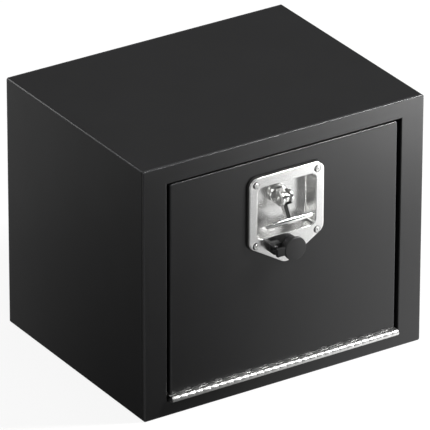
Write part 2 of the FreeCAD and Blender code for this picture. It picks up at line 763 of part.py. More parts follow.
def is_tray_wall(face, half):
    """True for the walls of the tray, or of the shell round it, that is so wide at the mouth."""
    box = face.BoundBox
    margin = half.value - s.tray_width.value / 2
    deep = box.YLength > s.tray_depth.value / 2
    beside = box.XLength < NEAR and abs(abs(box.XMin) - half.value) < NEAR
    above = abs(box.ZMin - s.tray_top.value - margin) < NEAR
    below = abs(box.ZMin + s.tray_bottom.value + margin) < NEAR
    return deep and (beside or box.ZLength < NEAR and (above or below))


def is_tray_corner(edge, half):
    """True for the drafted edges between two walls of the tray."""
    box = edge.BoundBox
    lean = s.tray_depth.value * math.tan(math.radians(s.tray_draft.value))
    slant = box.YLength > s.tray_depth.value / 2 and max(box.XLength, box.ZLength) < lean * 2
    return slant and half.value - lean < abs(edge.CenterOfMass.x) < half.value


def is_tray_floor(edge):
    if not lies(edge, "y", tray_floor):
        return False
    return abs(edge.CenterOfMass.x) < s.tray_width.value / 2


def is_tray_mouth(edge):
    if not lies(edge, "y", plate_front):
        return False
    centre = edge.CenterOfMass
    inside = abs(centre.x) < s.tray_width.value / 2 + NEAR
    return inside and -s.tray_bottom.value - NEAR < centre.z < s.tray_top.value + NEAR


def bush_hole():
    return s.shaft_radius + s.pin_play + s.bush_wall


def make_spindle_bush():
    """Flanged bush in the tray's floor."""
    body = new_body("spindle_bush")
    bore = s.shaft_radius + s.pin_play
    tube = bush_hole() - s.pin_play
    add_turned(body, [(tray_floor, bore), (tray_floor, tube), (tray_back, tube),
                      (tray_back, s.bush_radius), (bush_end, s.bush_radius), (bush_end, bore)])
    at_spindle(body, "spindle_bush")


def make_stop_studs():
    """Two studs that stop the tail, the first at rest and the second a quarter turn on."""
    aside = s.stop_half + s.stud_radius + s.seat_gap
    along = (s.stud_orbit * s.stud_orbit - aside * aside).root()
    spots = ((-along.value, aside.value), (aside.value, -along.value))
    solids = []
    for across, up in spots:
        start = V(across, tray_back.value, up)
        solids.append(Part.makeCylinder(s.stud_radius.value, (stop_back - tray_back).value, start, V(0, 1, 0)))
    feature = doc.addObject("Part::Feature", "StopStuds")
    feature.Shape = Part.makeCompound(solids)
    at_spindle(feature, "stop_studs")


def make_spindle():
    """Boss with a tongue in front; shaft, square and thread behind."""
    body = new_body("spindle")
    rear = tray_floor - s.seat_gap
    square_start = stop_front
    thread_end = nut_back + s.thread_spare
    add_turned(body, [(boss_front, 0), (boss_front, s.boss_radius - s.boss_chamfer),
                      (boss_front + s.boss_chamfer, s.boss_radius), (rear, s.boss_radius),
                      (rear, s.shaft_radius), (square_start, s.shaft_radius),
                      (square_start, s.thread_radius), (thread_end, s.thread_radius),
                      (thread_end, 0)])
    side = s.square_side / 2
    add_front(body, square_start, cam_back, [corners(-side, -side, side, side)])
    tongue_end = boss_front + s.boss_chamfer
    add_across(body, s.tongue_half, [corners(fold_depth, -s.tongue_radius, tongue_end, s.tongue_radius)])
    add_across(body, s.tongue_half, circles=[(fold_depth, 0, s.tongue_radius)])
    add_across(body, s.tongue_half, circles=[(fold_depth, 0, s.fold_pin_radius)], cut=True)
    at_spindle(body, "spindle")


def make_fold_pin():
    """Cross pin, pressed in the tongue; the yoke turns on it."""
    body = new_body("fold_pin")
    half = s.tongue_half + s.yoke_play + s.yoke_cheek
    add_across(body, half + s.yoke_play, circles=[(fold_depth, 0, s.fold_pin_radius)])
    at_spindle(body, "fold_pin")


def make_handle_yoke():
    """Forked head with two round cheeks, a web under the tongue, and the stem that leans forward."""
    body = new_body("handle_yoke")
    inner = s.tongue_half + s.yoke_play
    web = s.tongue_radius + s.yoke_play * 2
    add_across(body, inner + s.yoke_cheek, circles=[(fold_depth, 0, s.yoke_radius)])
    beyond = s.yoke_radius + s.seat_gap
    add_across(body, inner, [corners(fold_depth - beyond, -web, fold_depth + beyond, beyond)], cut=True)
    stem = add_across(body, s.stem_half,
                      [[(bar_depth - s.stem_half, -s.bar_drop), (bar_depth + s.stem_half, -s.bar_drop),
                        (fold_depth + s.stem_half, -web), (fold_depth - s.stem_half, -web)]])
    round_off(body, stem, s.stem_round, is_stem_edge)
    bore = s.fold_pin_radius + s.pin_play
    add_across(body, inner + s.yoke_cheek, circles=[(fold_depth, 0, bore)], cut=True)
    saddle = s.bar_radius + s.pin_play
    add_across(body, s.bar_straight, circles=[(bar_depth, -s.bar_drop, saddle)], cut=True)
    at_spindle(body, "handle_yoke")


def is_stem_edge(edge):
    """True for the four long edges of the leaning stem."""
    box = edge.BoundBox
    straight = edge.Curve.TypeId == "Part::GeomLine"
    return straight and box.XLength < NEAR and min(box.YLength, box.ZLength) > s.stem_half.value


def make_handle_bar():
    """T-bar, tapered to chamfered ends, with a small cross hole near the left one."""
    body = new_body("handle_bar")
    tip = s.bar_end_radius - s.bar_end_chamfer
    end = s.bar_half - s.bar_end_chamfer
    add_turned(body, [(-s.bar_half, 0), (-s.bar_half, tip), (-end, s.bar_end_radius),
                      (-s.bar_straight, s.bar_radius), (s.bar_straight, s.bar_radius),
                      (end, s.bar_end_radius), (s.bar_half, tip), (s.bar_half, 0)], "XZ_Plane")
    cut_front(body, -s.bar_radius, s.bar_radius,
              circles=[(s.bar_hole_in - s.bar_half, 0, s.bar_hole_radius)])
    at_spindle(body, "handle_bar")
    place(body, 0, bar_depth - s.box_depth / 2, latch_height - s.bar_drop)


def square_hole(side):
    half = side / 2 + s.pin_play / 2
    return corners(-half, -half, half, half)


def make_stop_plate():
    """Round hub on the spindle's square, with a tail that meets the studs."""
    body = new_body("stop_plate")
    add_front(body, stop_front, stop_back, circles=[(0, 0, s.stop_hub)])
    add_front(body, stop_front, stop_back,
              [corners(-s.stop_reach, -s.stop_half, 0, s.stop_half)])
    cut_front(body, stop_front, stop_back, [square_hole(s.square_side)])
    at_spindle(body, "stop_plate")


def make_latch_cam():
    """Arm on the spindle's square; a quarter turn takes its tip behind the wear plate."""
    body = new_body("latch_cam")
    tip = cam_reach - s.cam_half
    add_front(body, cam_front, cam_back, circles=[(0, 0, s.stop_hub)])
    add_front(body, cam_front, cam_back, [corners(0, -s.cam_half, tip, s.cam_half)])
    add_front(body, cam_front, cam_back, circles=[(tip, 0, s.cam_half)])
    cut_front(body, cam_front, cam_back, [square_hole(s.square_side)])
    at_spindle(body, "latch_cam")


def make_spindle_hardware():
    """Spacer between stop plate and cam, washer and nut behind the cam."""
    spacer = new_body("spindle_spacer")
    add_front(spacer, stop_back, cam_front, circles=[(0, 0, s.spacer_radius)])
    cut_front(spacer, stop_back, cam_front, [square_hole(s.square_side)])
    at_spindle(spacer, "spindle_spacer")
    bore = s.thread_radius + s.pin_play
    washer = cut_away(make_rod(s.nut_radius + s.washer_thick, cam_back, washer_back),
                      make_rod(bore, cam_back, washer_back))
    at_spindle(washer, "cam_washer")
    nut = cut_away(make_hexagon(s.nut_radius, washer_back, nut_back), make_rod(bore, washer_back, nut_back))
    at_spindle(nut, "cam_nut")


def make_lock_cylinder():
    """Key lock body with a larger head in front of the plate."""
    body = new_body("lock_cylinder")
    bore = s.plug_radius + s.pin_play
    add_turned(body, [(lock_front, bore), (lock_front, s.lock_head - s.seat_gap),
                      (lock_front + s.seat_gap, s.lock_head), (plate_front, s.lock_head),
                      (plate_front, s.lock_radius), (lock_back, s.lock_radius), (lock_back, bore)])
    at_lock(body, "lock_cylinder")


def make_lock_nut():
    end = door_back + s.lock_nut_thick
    nut = cut_away(make_hexagon(s.lock_nut_radius, door_back, end),
                   make_rod(s.lock_radius + s.pin_play, door_back, end))
    at_lock(nut, "lock_nut")


def make_key_plug():
    """Plug with a keyway in front and a square tail behind."""
    body = new_body("key_plug")
    front = lock_front + s.seat_gap
    shoulder = stop_front
    add_turned(body, [(front, 0), (front, s.plug_radius), (shoulder, s.plug_radius),
                      (shoulder, 0)])
    side = s.tail_side / 2
    add_front(body, shoulder, stop_back, [corners(-side, -side, side, side)])
    keyway = corners(-s.keyway_half, -s.keyway_tall, s.keyway_half, s.keyway_tall)
    cut_front(body, front, front + s.plug_radius, [keyway])
    hole = s.pawl_screw_radius + s.pin_play
    cut_front(body, stop_back - s.tail_side, stop_back, circles=[(0, 0, hole)])
    at_lock(body, "key_plug")


def make_lock_pawl():
    """Arm on the plug's tail. Turned up, its end stands in the way of the stop plate's tail."""
    body = new_body("lock_pawl")
    far = s.pawl_reach * s.pawl_tilt.cos()
    drop = s.pawl_reach * s.pawl_tilt.sin()
    wide = s.pawl_half * s.pawl_tilt.cos()
    lean = s.pawl_half * s.pawl_tilt.sin()
    arm = [(lean, -wide), (-lean, wide), (-far - lean, wide - drop), (lean - far, -wide - drop)]
    add_front(body, stop_front, stop_back, circles=[(0, 0, s.pawl_hub)])
    add_front(body, stop_front, stop_back, [arm])
    add_front(body, stop_front, stop_back, circles=[(-far, -drop, s.pawl_half)])
    cut_front(body, stop_front, stop_back, [square_hole(s.tail_side)])
    at_lock(body, "lock_pawl")


def make_pawl_screw():
    """Screw that holds the pawl on the plug's tail."""
    body = new_body("pawl_screw")
    head_end = stop_back + s.pawl_screw_tall
    tip = stop_back - s.tail_side + s.seat_gap
    add_turned(body, [(tip, 0), (tip, s.pawl_screw_radius), (stop_back, s.pawl_screw_radius),
                      (stop_back, s.pawl_screw_head), (head_end - s.seat_gap, s.pawl_screw_head),
                      (head_end, s.pawl_screw_head - s.seat_gap), (head_end, 0)])
    at_lock(body, "pawl_screw")


def make_cap_base():
    """Ring round the lock's head, with the two outer ears of the cap's hinge."""
    body = new_body("cap_base")
    bore = s.lock_head + s.pin_play
    out = s.cap_hinge_out
    arm_end = plate_front - s.cap_arm
    add_turned(body, [(plate_front, bore), (plate_front, s.ring_radius),
                      (ring_front + s.seat_gap, s.ring_radius), (ring_front, s.ring_radius - s.seat_gap),
                      (ring_front, bore)])
    add_front(body, arm_end, plate_front,
              [corners(-out - s.cap_knuckle, -s.cap_ear_half, -bore - s.seat_gap, s.cap_ear_half)])
    web = corners(-out - s.cap_knuckle, cap_hinge_depth, -out + s.cap_knuckle, arm_end)
    ear_start = s.cap_middle_half + s.seat_gap
    for low, high in ((ear_start, s.cap_ear_half), (-s.cap_ear_half, -ear_start)):
        add_upright(body, low, high, [web])
        add_upright(body, low, high, circles=[(-out, cap_hinge_depth, s.cap_knuckle)])
    cut_upright_hole(body, s.cap_ear_half, s.cap_pin_radius + s.pin_play)
    at_lock(body, "cap_base")


def cut_upright_hole(body, half, radius):
    """The bore of the cap's hinge pin."""
    sketch = new_sketch(body, "XY_Plane")
    draw_circle(sketch, -s.cap_hinge_out, cap_hinge_depth, radius)
    pocket = body.newObject("PartDesign::Pocket", "PinBore")
    pocket.Profile = sketch
    pocket.SideType = "Symmetric"
    bind(pocket, "Length", half * 2)


def make_cap_pin():
    body = new_body("cap_pin")
    add_upright(body, -s.cap_ear_half, s.cap_ear_half,
                circles=[(-s.cap_hinge_out, cap_hinge_depth, s.cap_pin_radius)])
    at_lock(body, "cap_pin")


def make_lock_cap():
    """Moulded weather cap: hollow neck, wide disc, and the middle knuckle on an arm."""
    body = new_body("lock_cap")
    disc_back = cap_front + s.cap_disc
    hollow = s.cap_neck - s.cap_wall
    edge = s.cap_wall / 2
    out = s.cap_hinge_out
    add_turned(body, [(cap_rear, 0), (cap_rear, s.cap_neck), (disc_back, s.cap_neck),
                      (disc_back - edge, s.cap_radius), (cap_front + edge, s.cap_radius),
                      (cap_front, s.cap_radius - edge), (cap_front, 0)])
    arm_start = cap_front + edge
    arm_end = arm_start + s.cap_arm
    add_front(body, arm_start, arm_end,
              [corners(-out - s.cap_knuckle, -s.cap_ear_half, -hollow, s.cap_ear_half)])
    web = corners(-out - s.cap_knuckle, arm_end, -out + s.cap_knuckle, cap_hinge_depth)
    add_upright(body, -s.cap_middle_half, s.cap_middle_half, [web])
    add_upright(body, -s.cap_middle_half, s.cap_middle_half,
                circles=[(-out, cap_hinge_depth, s.cap_knuckle)])
    cut_front(body, disc_back, cap_rear, circles=[(0, 0, hollow)])
    cut_upright_hole(body, s.cap_middle_half, s.cap_pin_radius + s.pin_play)
    at_lock(body, "lock_cap")


def rivet_shape(grip, sink=0):
    """A rivet that stands on its head's seat: head above, shank, and tail below.

    With a sink the far end lies flush in a countersunk hole.
    """
    head = Part.makeCone(s.rivet_head.value, s.rivet_crown.value, s.rivet_dome.value)
    radius = s.rivet_radius.value
    shank = Part.makeCylinder(radius, grip, V(0, 0, -grip))
    if sink:
        tail = Part.makeCone(radius + sink, radius, sink, V(0, 0, -grip))
    else:
        below = s.rivet_dome.value
        tail = Part.makeCylinder(s.rivet_tail.value, below, V(0, 0, -grip - below))
    return head.multiFuse([shank, tail]).removeSplitter()


def make_rivets(name, shape, places, rotation, at):
    """The same rivet at every place, as separate solids."""
    solids = []
    for spot in places:
        rivet = shape.copy()
        rivet.Placement = FreeCAD.Placement(spot, rotation)
        solids.append(rivet)
    feature = doc.addObject("Part::Feature", name + "_group")
    feature.Shape = Part.makeCompound(solids)
    at(feature, name)


def make_all_rivets():
    line = s.hinge_rivet_line.value
    hinge_rivet = rivet_shape((s.leaf_thick + s.sheet_thick).value)
    upper = (door_low - s.leaf_thick).value
    lower = (s.bottom_flange + s.leaf_thick).value
    spots = [across.value for across in hinge_rivet_places()]
    make_rivets("hinge_body_rivets", hinge_rivet, [V(x, line, lower) for x in spots],
                FreeCAD.Rotation(), at_front)
    make_rivets("hinge_door_rivets", hinge_rivet, [V(x, line, upper) for x in spots],
                FreeCAD.Rotation(V(1, 0, 0), 180), at_front)
    keeper_rivet = rivet_shape((keeper_back - lip_front).value, s.keeper_sink.value)
    spots = [V(u.value, keeper_back.value, v.value) for u, v, _ in keeper_rivet_spots(s.rivet_radius)]
    make_rivets("keeper_rivets", keeper_rivet, spots, FreeCAD.Rotation(V(1, 0, 0), -90), at_front)
    seat = plate_front + s.dimple_deep
    screw = rivet_shape((s.door_inset + s.sheet_thick - seat).value)
    spots = [V(u.value, seat.value, v.value) for u, v, _ in latch_holes()[:4]]
    make_rivets("latch_screws", screw, spots, FreeCAD.Rotation(V(1, 0, 0), 90), at_spindle)


def make_cabinet():
    make_body_wrap()
    make_back_panel()
    make_front_frame()
    make_door_seal()
    make_keeper()
    make_leaf("hinge_body_leaf", -1)
    make_hinge_pin()


def make_door():
    make_door_skin()
    make_door_liner()
    make_leaf("hinge_door_leaf", 1)


def make_latch():
    make_latch_gasket()
    make_latch_plate()
    make_spindle_bush()
    make_stop_studs()
    make_spindle()
    make_fold_pin()
    make_handle_yoke()
    make_handle_bar()
    make_stop_plate()
    make_latch_cam()
    make_spindle_hardware()


def make_lock():
    make_lock_cylinder()
    make_lock_nut()
    make_key_plug()
    make_lock_pawl()
    make_pawl_screw()
    make_cap_base()
    make_cap_pin()
    make_lock_cap()


def check_model():
    """Stops if any object failed or any sub-part isn't a sound solid."""
    faults = []
    for item in doc.Objects:
        if "Invalid" in item.State or "Error" in item.State:
            owners = [owner.Label for owner in item.InList if owner.isDerivedFrom("PartDesign::Body")]
            faults.append("%s of %s is %s" % (item.Name, owners, item.State))
    for name, thing in nodes.items():
        if thing.Shape.isNull() or not thing.Shape.isValid() or not thing.Shape.Solids:
            faults.append("%s has no valid solid" % name)
    if faults:
        raise RuntimeError("; ".join(faults))


def write_parts():
    os.makedirs("parts", exist_ok=True)
    for name, thing in nodes.items():
        thing.Shape.exportStep("parts/%s.step" % name)
    print("%d sub-parts written" % len(nodes))


make_cabinet()
make_door()
make_latch()
make_lock()
make_all_rivets()
doc.recompute()
check_model()
write_parts()
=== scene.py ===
import json
import math

import bmesh
import bpy
from mathutils import Matrix, Vector

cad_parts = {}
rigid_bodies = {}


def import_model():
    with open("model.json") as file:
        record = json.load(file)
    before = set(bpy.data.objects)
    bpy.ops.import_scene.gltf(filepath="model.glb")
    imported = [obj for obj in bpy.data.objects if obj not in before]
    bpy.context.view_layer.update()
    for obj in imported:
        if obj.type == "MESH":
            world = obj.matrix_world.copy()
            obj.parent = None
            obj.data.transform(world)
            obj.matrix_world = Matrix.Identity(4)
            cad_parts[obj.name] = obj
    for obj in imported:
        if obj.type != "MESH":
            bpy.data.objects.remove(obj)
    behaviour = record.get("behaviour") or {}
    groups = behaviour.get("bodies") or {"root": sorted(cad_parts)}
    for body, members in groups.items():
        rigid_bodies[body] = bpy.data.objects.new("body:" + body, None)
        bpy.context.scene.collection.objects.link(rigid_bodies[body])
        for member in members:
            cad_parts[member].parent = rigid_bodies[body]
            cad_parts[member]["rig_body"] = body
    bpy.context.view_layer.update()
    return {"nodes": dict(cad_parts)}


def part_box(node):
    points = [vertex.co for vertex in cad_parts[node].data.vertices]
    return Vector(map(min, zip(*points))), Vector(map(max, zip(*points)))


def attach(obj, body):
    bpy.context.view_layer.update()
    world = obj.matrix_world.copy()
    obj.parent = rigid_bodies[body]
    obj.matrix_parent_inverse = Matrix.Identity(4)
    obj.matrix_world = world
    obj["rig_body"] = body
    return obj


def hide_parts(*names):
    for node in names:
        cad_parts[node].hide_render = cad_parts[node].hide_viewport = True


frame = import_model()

# Looks of the underbody truck tool box. Metres; +X is right, +Y is back and +Z is up, seen from
# the front. The construction comes from the frame, and this script gives it its finish.

MM = 0.001

# Camera, as the photograph was taken: a long lens, left of the front and above.
CAMERA_AZIMUTH = math.radians(-32.86)
CAMERA_ELEVATION = math.radians(26.47)
CAMERA_ROLL = math.radians(0.15)
CAMERA_DISTANCE = 8.8816
CAMERA_LENS = 533.24
CAMERA_SENSOR = 36
CAMERA_CLIP = (0.5, 100)
AIM_RIGHT = 0.0007
AIM_DOWN = 0.0074

# Lamps: where each stands, its width and height, and its power in watts.
LAMPS = {
    "softbox_key": ((1.36, -0.95, 1.80), 0.22, 1.1, 62),
    "softbox_over": ((-0.2, -0.1, 2.4), 1.5, 1.5, 12),
    "softbox_left": ((-1.8, -1.8, 1.5), 1.2, 1.2, 10),
    "softbox_back": ((-0.9, 2.3, 1.1), 1.4, 1.4, 22),
}

# Powder coat: its darker and paler clouds, the thin coat on the folds with a painted highlight
# along them, and the seam's painted shadow.
COAT_DARK = (0.0090, 0.0090, 0.0094)
COAT_PALE = (0.0125, 0.0125, 0.0130)
COAT_WORN_AND_HIGHLIGHT = (0.040, 0.040, 0.042)
COAT_SEAM_SHADOW = (0.0015, 0.0015, 0.0015)

# The thin coat and its painted highlight are palest within the first distance of a fold's corner,
# and gone at the second.
EDGE_FADE = (1.4 * MM, 2.6 * MM)

# The welded seam just behind the frame's face, with a shadow painted along it: the pieces that show
# it, how far back its dark line comes in and goes out, how close to the cabinet's side it comes in,
# and its relief.
SEAMED = ("body_wrap", "front_frame")
SEAM_START = (1.4 * MM, 2.0 * MM)
SEAM_END = (5.2 * MM, 6.0 * MM)
SEAM_SIDE = (1.2 * MM, 0.4 * MM)
SEAM_DEEP = 1.5 * MM

# Plate rivets, in millimetres: head radius in the solids, and the seat of the new head.
PLATE_RIVET_HEAD = 3.8
RIVET_SEAT = 1.2

# Painted shade in the plate's dimples, as their dark reflection: a disc round the rivet, less a
# second disc beside it.
DIMPLE_PAINTED_SHADE = (0.012, 0.012, 0.012)
SHADE_DISC = (4.9 * MM, 5.7 * MM)
UNSHADED_DISC = (4.3 * MM, 5.0 * MM)
UNSHADED_SHIFT = Vector((2.1, 0, -0.6)) * MM

# Cast, moulded or tumbled pieces, whose edges are broken: how wide in millimetres, and in how many
# segments.
SOFTENED = {
    "handle_yoke": (0.8, 3),
    "handle_bar": (1.0, 3),
    "spindle": (0.5, 2),
    "lock_cap": (1.2, 3),
    "cap_base": (0.6, 2),
    "hinge_body_leaf": (0.45, 2),
    "hinge_door_leaf": (0.45, 2),
    "latch_cam": (0.5, 2),
    "stop_plate": (0.5, 2),
    "lock_pawl": (0.4, 2),
    "cam_nut": (0.6, 2),
    "lock_nut": (0.6, 2),
}
SHARP_FOLD = math.radians(35)
FLAT_FOLD = math.radians(0.5)
WELD = 0.01 * MM

# The floor in a mirroring surface brightens along a line from the left back to the right front. It
# is dimmer behind the cabinet's front, and has a bright patch at the right front and a faint glow
# far off.
FLOOR_GREY = (0.18, 0.18, 0.18)
GLOW_LINE = (1.0, 0.646, 0.0)
GLOW_SPAN = (-0.335, 0.335)
GLOW_LEVEL = 1.75
GLOW_FRONT = (-0.02, -0.20)
GLOW_BEHIND = 0.35
PATCH_SPOT = (0.84, -0.95, 0.0)
PATCH_FADE = (0.05, 0.46)
PATCH_LEVEL = 8.0
FAR_SPAN = (1.3, 3.0)
FAR_LEVEL = 0.45

# The floor to the camera: the lamps add to it near the object, and less and less further off.
WHITE_NEAR = 0.86
WHITE_SPAN = (0.8, 2.6)

# Light from round about, by the height of its direction: its level at the horizon, how much of it
# is lost above, and a paler band higher up.
SKY_LEVEL = 0.34
SKY_LOSS = 0.28
SKY_SPAN = (0.02, 0.14)
BAND_LEVEL = 0.15
BAND_START = (0.28, 0.42)
BAND_END = (0.50, 0.66)

node_low = {name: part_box(name)[0] for name in frame["nodes"]}
node_high = {name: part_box(name)[1] for name in frame["nodes"]}
cabinet_low = Vector(map(min, node_low["body_wrap"], node_low["front_frame"]))
cabinet_high = Vector(map(max, node_high["body_wrap"], node_high["front_frame"]))
cabinet_middle = (cabinet_low + cabinet_high) / 2


class Value:
    """An output of a shader node. Arithmetic on it adds Math nodes."""

    def __init__(self, paint, socket):
        self.paint = paint
        self.socket = socket

    def __add__(self, other):
        return self.paint.maths("ADD", self, other)

    def __sub__(self, other):
        return self.paint.maths("SUBTRACT", self, other)

    def __rsub__(self, other):
        return self.paint.maths("SUBTRACT", other, self)

    def __mul__(self, other):
        return self.paint.maths("MULTIPLY", self, other)

    __radd__ = __add__
    __rmul__ = __mul__


class Paint:
    """A node tree in the making: a material's or the world's."""

    def __init__(self, owner):
        owner.use_nodes = True
        self.tree = owner.node_tree

    def node(self, kind, settings=None, inputs=None, output=0):
        """Adds a node. Settings are set first, then the values or links of its sockets."""
        made = self.tree.nodes.new("ShaderNode" + kind)
        for name, setting in (settings or {}).items():
            setattr(made, name, setting)
        for name, value in (inputs or {}).items():
            self.feed(made.inputs[name], value)
        return Value(self, made.outputs[output])

    def feed(self, socket, value):
        if isinstance(value, Value):
            self.tree.links.new(value.socket, socket)
        elif isinstance(value, tuple) and len(value) == 3 and socket.type == "RGBA":
            socket.default_value = (*value, 1)
        else:
            socket.default_value = value

    def maths(self, operation, *values):
        return self.node("Math", {"operation": operation}, dict(enumerate(values)))

    def vector(self, operation, *values, output=0):
        return self.node("VectorMath", {"operation": operation}, dict(enumerate(values)), output)

    def part(self, vector, axis):
        """A vector's number on one axis: 0, 1 or 2."""
        return self.node("SeparateXYZ", None, {0: vector}, axis)

    def ramp(self, value, start, end):
        """0 up to start, 1 from end on, and smooth between."""
        return self.node("MapRange", {"interpolation_type": "SMOOTHSTEP"},
                         {"Value": value, "From Min": start, "From Max": end})

    def mix(self, factor, first, second):
        """A colour between two colours."""
        return self.node("Mix", {"data_type": "RGBA"}, {0: factor, 6: first, 7: second}, 2)

    def place(self, stretch=(1, 1, 1)):
        """Object coordinates, stretched along the axes."""
        spot = self.node("TexCoord", output=3)
        return self.node("Mapping", None, {"Vector": spot, "Scale": stretch})

    def distance(self, spot):
        """How far a point is from that spot."""
        return self.vector("DISTANCE", self.place(), tuple(spot), output=1)

    def noise(self, size, detail=2.0, stretch=(1, 1, 1)):
        """Soft noise around 0.5 whose features are about that size."""
        return self.node("TexNoise", None,
                         {"Vector": self.place(stretch), "Scale": 1 / size, "Detail": detail})


class Finish(Paint):
    """A surface finish on the Principled shader."""

    def __init__(self, name):
        self.material = bpy.data.materials.new(name)
        super().__init__(self.material)
        self.shader = self.tree.nodes["Principled BSDF"]

    def set(self, **values):
        for name, value in values.items():
            self.feed(self.shader.inputs[name.replace("_", " ")], value)

    def bump(self, height, depth, normal=None):
        """Relief: a height from 0 to 1, and its real depth."""
        inputs = {"Height": height, "Distance": depth}
        if normal is not None:
            inputs["Normal"] = normal
        return self.node("Bump", None, inputs)


def edge_wear_and_highlight_mask(finish, low, high):
    """1 along the twelve edges of a box, worn and given a painted highlight unevenly, and 0 a
    little way off them.
    """
    spot = finish.vector("SUBTRACT", finish.place(), tuple((low + high) / 2))
    off = finish.vector("ABSOLUTE", spot)
    inward = finish.vector("SUBTRACT", tuple((high - low) / 2), off)
    x, y, z = [finish.part(inward, axis) for axis in range(3)]
    near = finish.maths("MINIMUM", finish.maths("MINIMUM", x + y, y + z), z + x)
    patchy = finish.noise(30 * MM, 3.0)
    return (1.0 - finish.ramp(near, *EDGE_FADE)) * (0.55 + patchy * 0.9)


def seam_shadow_mask(finish):
    """1 on the cabinet's two sides along the welded seam just behind its front frame, where a
    shadow is painted.
    """
    spot = finish.place()
    aside = finish.maths("ABSOLUTE", finish.part(spot, 0))
    behind = finish.part(spot, 1) - cabinet_low.y
    side = finish.ramp(aside, *(cabinet_high.x - inset for inset in SEAM_SIDE))
    line = finish.ramp(behind, *SEAM_START) - finish.ramp(behind, *SEAM_END)
    return line * side


def powder_coat(name, low, high):
    """Satin black powder coat of one folded piece: fine orange peel, a slow unevenness of gloss,
    and a thinner, paler coat where the folds are handled, which is also a painted highlight; on
    the seamed pieces, a painted shadow along the seam."""
    finish = Finish("powder_coat_" + name)
    peel = finish.noise(0.9 * MM, 3.0)
    wave = finish.noise(70 * MM, 1.0)
    speck = finish.noise(0.35 * MM, 1.0)
    cloud = finish.noise(45 * MM, 4.0)
    worn_and_highlight = edge_wear_and_highlight_mask(finish, Vector(low), Vector(high))
    # Painted highlight along the folds, together with their wear: a paler coat there.
    coat = finish.mix(worn_and_highlight, finish.mix(cloud, COAT_DARK, COAT_PALE), COAT_WORN_AND_HIGHLIGHT)
    gloss = 0.27 + cloud * 0.06 + speck * 0.05 - worn_and_highlight * 0.13
    relief = finish.bump(peel, 0.02 * MM, finish.bump(wave, 0.25 * MM))
    if name in SEAMED:
        # Painted shadow in the seam: a near-black line of coat there.
        seam_shadow = seam_shadow_mask(finish)
        coat = finish.mix(seam_shadow, coat, COAT_SEAM_SHADOW)
        gloss = gloss + seam_shadow * 0.5
        relief = finish.bump(1.0 - seam_shadow, SEAM_DEEP, relief)
    finish.set(Base_Color=coat, Roughness=gloss, Normal=relief)
    return finish.material


def brushed_steel(name, colour, rough, grain, stretch, painted_shade=None):
    """Stainless sheet with the fine lines of its rolling, and painted shade where a mask of it is
    given.
    """
    finish = Finish(name)
    lines = finish.noise(grain, 3.0, stretch)
    cloud = finish.noise(18 * MM, 3.0)
    dull = tuple(level * 0.9 for level in colour)
    steel = finish.mix(cloud, dull, colour)
    gloss = rough + lines * 0.10 + cloud * 0.04
    if painted_shade:
        # Painted shade, the dimples' dark reflection, where a mask of it is given.
        shaded = painted_shade(finish)
        steel = finish.mix(shaded, steel, DIMPLE_PAINTED_SHADE)
        gloss = gloss + shaded * 0.15
    finish.set(Base_Color=steel, Metallic=1.0, Roughness=gloss,
               Normal=finish.bump(lines, 0.006 * MM))
    return finish.material


def rivet_spots():
    """Where the plate's four rivets seat, from the box of the fasteners in the frame."""
    low, high = Vector(node_low["latch_screws"]), Vector(node_high["latch_screws"])
    head = PLATE_RIVET_HEAD * MM
    return [Vector((across, low.y + RIVET_SEAT * MM, level))
            for across in (low.x + head, high.x - head)
            for level in (low.z + head, high.z - head)]


def dimple_painted_shade(finish):
    """Painted shade and dark reflection: a crescent at the left of each dimple round the plate's
    rivets.
    """
    shaded = 0.0
    for spot in rivet_spots():
        in_shade = 1.0 - finish.ramp(finish.distance(spot), *SHADE_DISC)
        out_of_shade = finish.ramp(finish.distance(spot + UNSHADED_SHIFT), *UNSHADED_DISC)
        shaded = in_shade * out_of_shade + shaded
    return shaded * (0.8 + finish.noise(4 * MM) * 0.4)


def polished_steel():
    """Polished stainless castings: smooth, with faint buffing marks and a slight unevenness."""
    finish = Finish("polished_stainless")
    buff = finish.noise(1.2 * MM, stretch=(1, 1, 0.2))
    cast = finish.noise(5 * MM)
    finish.set(Base_Color=(0.80, 0.80, 0.79), Metallic=1.0, Roughness=0.07 + buff * 0.10,
               Normal=finish.bump(cast, 0.05 * MM))
    return finish.material


def zinc_plate():
    """Zinc plated steel with a clouded, slightly blue passivation."""
    finish = Finish("zinc_plated")
    cloud = finish.noise(7 * MM, 4.0)
    grain = finish.noise(0.6 * MM)
    colour = finish.mix(cloud, (0.50, 0.52, 0.55), (0.68, 0.68, 0.66))
    finish.set(Base_Color=colour, Metallic=1.0, Roughness=0.26 + cloud * 0.14,
               Normal=finish.bump(grain, 0.015 * MM))
    return finish.material


def seal_rubber():
    """Matt black rubber with a fine skin and a little dust."""
    finish = Finish("seal_rubber_black")
    skin = finish.noise(0.5 * MM, 3.0)
    dust = finish.noise(12 * MM, 4.0)
    colour = finish.mix(dust, (0.010, 0.010, 0.010), (0.022, 0.022, 0.021))
    finish.set(Base_Color=colour, Roughness=0.62 + dust * 0.2,
               Normal=finish.bump(skin, 0.03 * MM))
    return finish.material


def cap_plastic(name, dark, pale, rough):
    """Moulded black plastic with a fine spark-eroded grain."""
    finish = Finish(name)
    grain = finish.noise(0.45 * MM)
    cloud = finish.noise(9 * MM, 3.0)
    finish.set(Base_Color=finish.mix(cloud, dark, pale), Roughness=rough + cloud * 0.10,
               Normal=finish.bump(grain, 0.03 * MM))
    return finish.material


